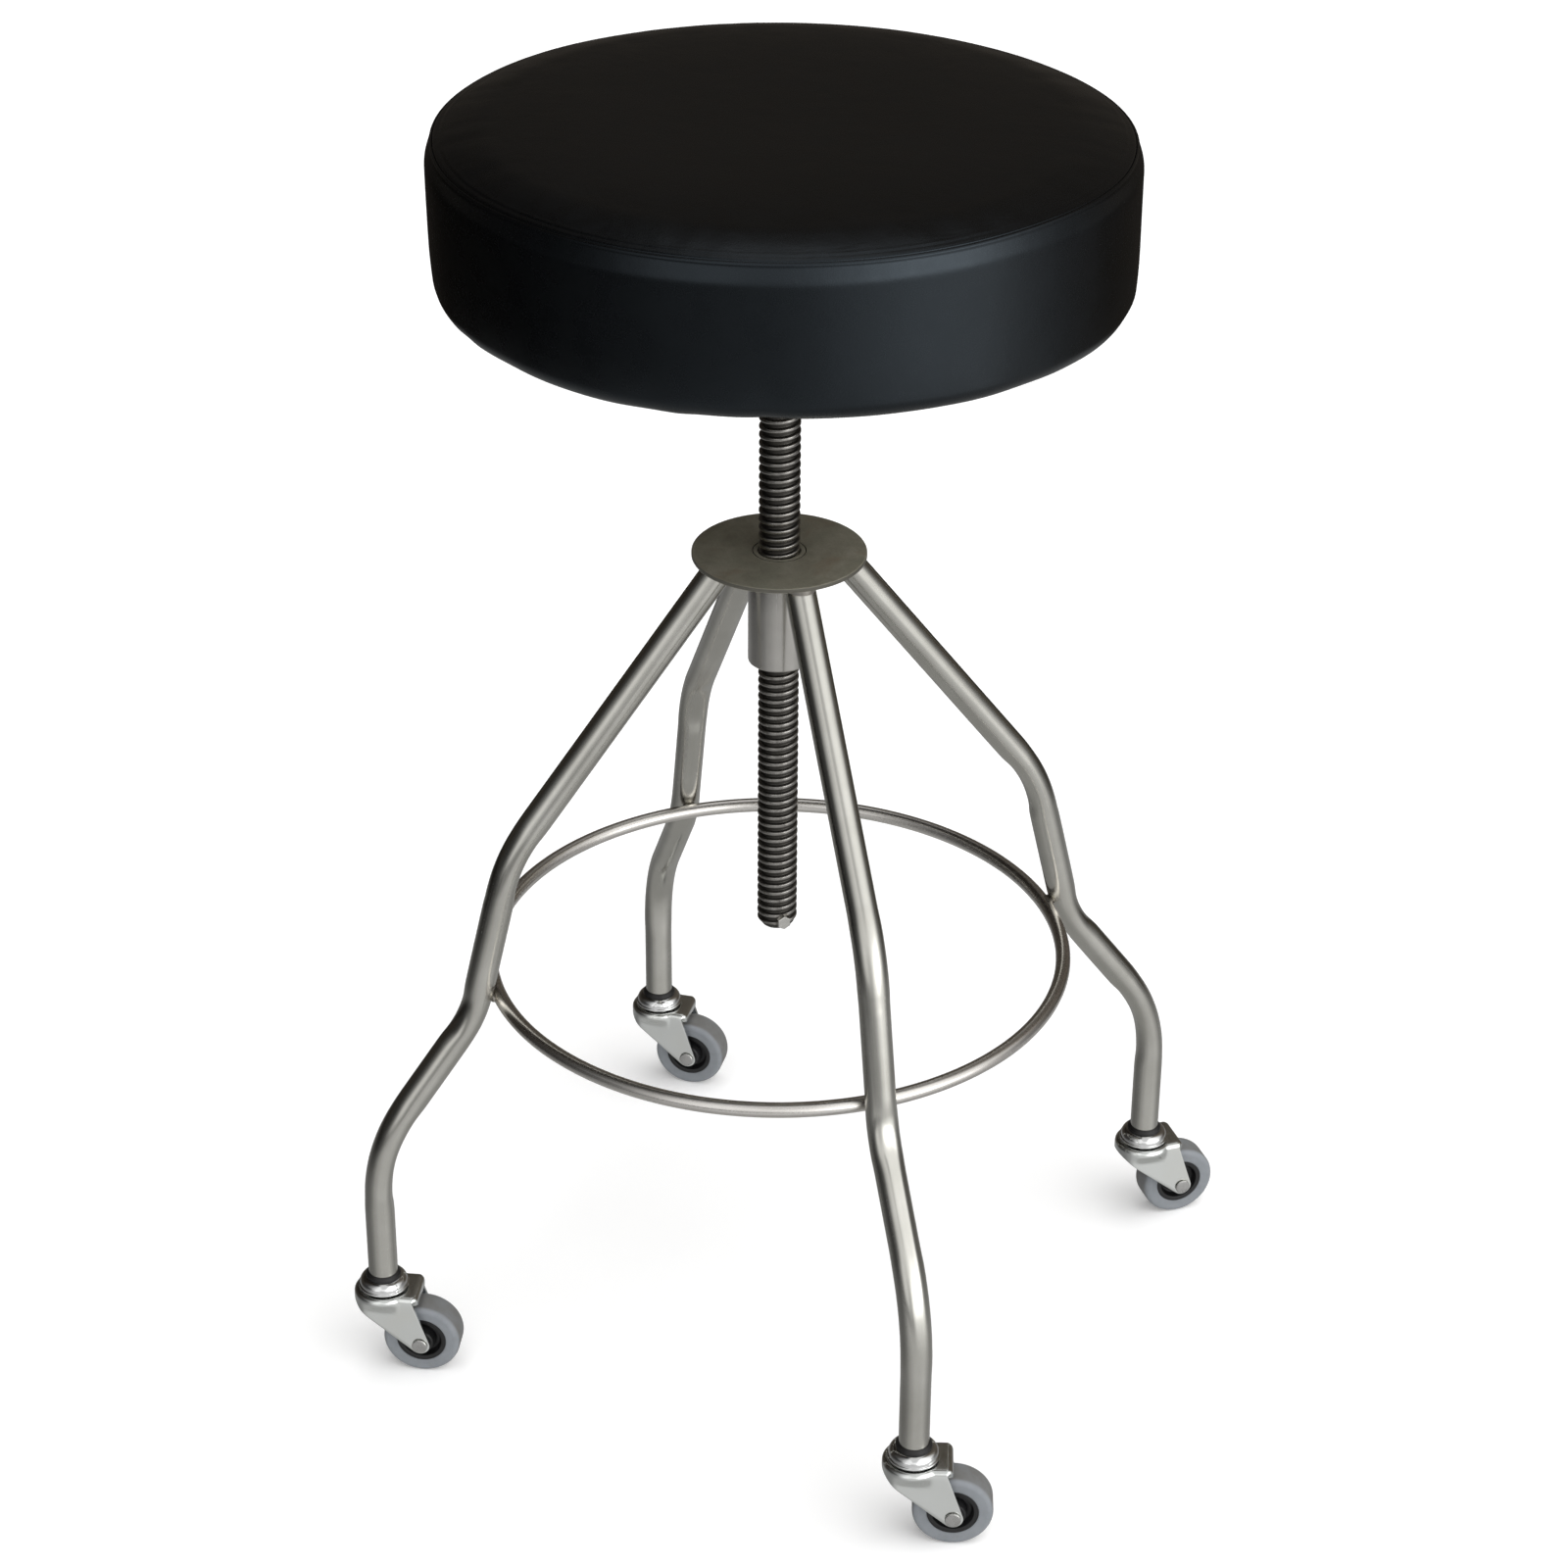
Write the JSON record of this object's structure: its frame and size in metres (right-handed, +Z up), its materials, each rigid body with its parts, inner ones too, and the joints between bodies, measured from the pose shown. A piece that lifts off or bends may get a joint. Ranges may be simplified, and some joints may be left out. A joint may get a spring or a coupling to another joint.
{
  "type": "screw-lift exam stool",
  "caption": "Round padded medical exam stool raised by turning its lead screw, on bent tubular steel legs with a foot ring and swivel casters.",
  "frame": {"origin": "on the floor under the axis of the lead screw", "axes": "+Z up along the lead screw; +X towards the right leg and -Y towards the front leg of the pictured pose"},
  "size_m": [0.6091, 0.5852, 0.8295],
  "materials": {
    "black_vinyl": "satin",
    "seat_foam": "matte",
    "plywood": "matte",
    "black_lining": "matte",
    "plated_fasteners": "satin",
    "plain_steel": "satin",
    "dark_screw_steel": "satin",
    "satin_stainless": "satin",
    "mill_plate": "matte",
    "polished_rod": "polished",
    "weld_bead": "matte",
    "black_sleeve": "matte",
    "plated_steel": "satin",
    "bright_cap": "polished",
    "zinc_fork": "satin",
    "black_hub": "satin",
    "grey_tread": "matte"
  },
  "bodies": {
    "base": {"top_plate": "mill_plate", "hub_sleeve": "satin_stainless", "hub_weld": "weld_bead", "thread_nut": "dark_screw_steel", "leg_front": "satin_stainless", "leg_right": "satin_stainless", "leg_back": "satin_stainless", "leg_left": "satin_stainless", "foot_ring": "polished_rod", "ring_welds": "weld_bead", "leg_welds": "weld_bead", "caster_front_sleeve": "black_sleeve", "caster_front_stem": "plated_steel", "caster_front_cap": "bright_cap", "caster_right_sleeve": "black_sleeve", "caster_right_stem": "plated_steel", "caster_right_cap": "bright_cap", "caster_back_sleeve": "black_sleeve", "caster_back_stem": "plated_steel", "caster_back_cap": "bright_cap", "caster_left_sleeve": "black_sleeve", "caster_left_stem": "plated_steel", "caster_left_cap": "bright_cap"},
    "lift": {"seat_collar": "plain_steel"},
    "seat": {"seat_top_panel": "black_vinyl", "seat_side_band": "black_vinyl", "seat_board": "plywood", "seat_foam": "seat_foam", "dust_cover": "black_lining", "seat_staples": "plated_fasteners", "seat_flange": "plain_steel", "flange_screws": "plated_fasteners", "lift_screw": "dark_screw_steel", "stop_bolt": "plated_fasteners"},
    "caster_front": {"caster_front_fork": "zinc_fork", "caster_front_balls": "plated_steel", "caster_front_axle": "plated_steel", "caster_front_bush": "plated_steel"},
    "wheel_front": {"caster_front_wheel_hub": "black_hub", "caster_front_tread": "grey_tread"},
    "caster_right": {"caster_right_fork": "zinc_fork", "caster_right_balls": "plated_steel", "caster_right_axle": "plated_steel", "caster_right_bush": "plated_steel"},
    "wheel_right": {"caster_right_wheel_hub": "black_hub", "caster_right_tread": "grey_tread"},
    "caster_back": {"caster_back_fork": "zinc_fork", "caster_back_balls": "plated_steel", "caster_back_axle": "plated_steel", "caster_back_bush": "plated_steel"},
    "wheel_back": {"caster_back_wheel_hub": "black_hub", "caster_back_tread": "grey_tread"},
    "caster_left": {"caster_left_fork": "zinc_fork", "caster_left_balls": "plated_steel", "caster_left_axle": "plated_steel", "caster_left_bush": "plated_steel"},
    "wheel_left": {"caster_left_wheel_hub": "black_hub", "caster_left_tread": "grey_tread"}
  },
  "joints": [
    {"name": "seat_lift", "type": "slide", "parent": "base", "child": "lift", "axis": [0, 0, 1], "range_m": [-0.1554, 0.1776]},
    {"name": "seat_spin", "type": "hinge", "parent": "lift", "child": "seat", "pos_m": [0, 0, 0.718], "axis": [0, 0, 1], "range_deg": [-10080, 11520]},
    {"name": "swivel_front", "type": "hinge", "parent": "base", "child": "caster_front", "pos_m": [0, -0.2697, 0.0605], "axis": [0, 0, 1], "continuous": true},
    {"name": "roll_front", "type": "hinge", "parent": "caster_front", "child": "wheel_front", "pos_m": [0.02346, -0.27833, 0.0252], "axis": [0.3453, 0.9385, 0], "continuous": true},
    {"name": "swivel_right", "type": "hinge", "parent": "base", "child": "caster_right", "pos_m": [0.2697, 0, 0.0605], "axis": [0, 0, 1], "continuous": true},
    {"name": "roll_right", "type": "hinge", "parent": "caster_right", "child": "wheel_right", "pos_m": [0.2947, -0.00017, 0.0252], "axis": [0.007, 1, 0], "continuous": true},
    {"name": "swivel_back", "type": "hinge", "parent": "base", "child": "caster_back", "pos_m": [0, 0.2697, 0.0605], "axis": [0, 0, 1], "continuous": true},
    {"name": "roll_back", "type": "hinge", "parent": "caster_back", "child": "wheel_back", "pos_m": [0.02094, 0.25605, 0.0252], "axis": [0.5461, 0.8377, 0], "continuous": true},
    {"name": "swivel_left", "type": "hinge", "parent": "base", "child": "caster_left", "pos_m": [-0.2697, 0, 0.0605], "axis": [0, 0, 1], "continuous": true},
    {"name": "roll_left", "type": "hinge", "parent": "caster_left", "child": "wheel_left", "pos_m": [-0.24695, -0.01037, 0.0252], "axis": [0.4147, 0.91, 0], "continuous": true}
  ],
  "couplings": [
    {"joint": "seat_spin", "follows": "seat_lift", "rad_per_m": 1132.1}
  ]
}
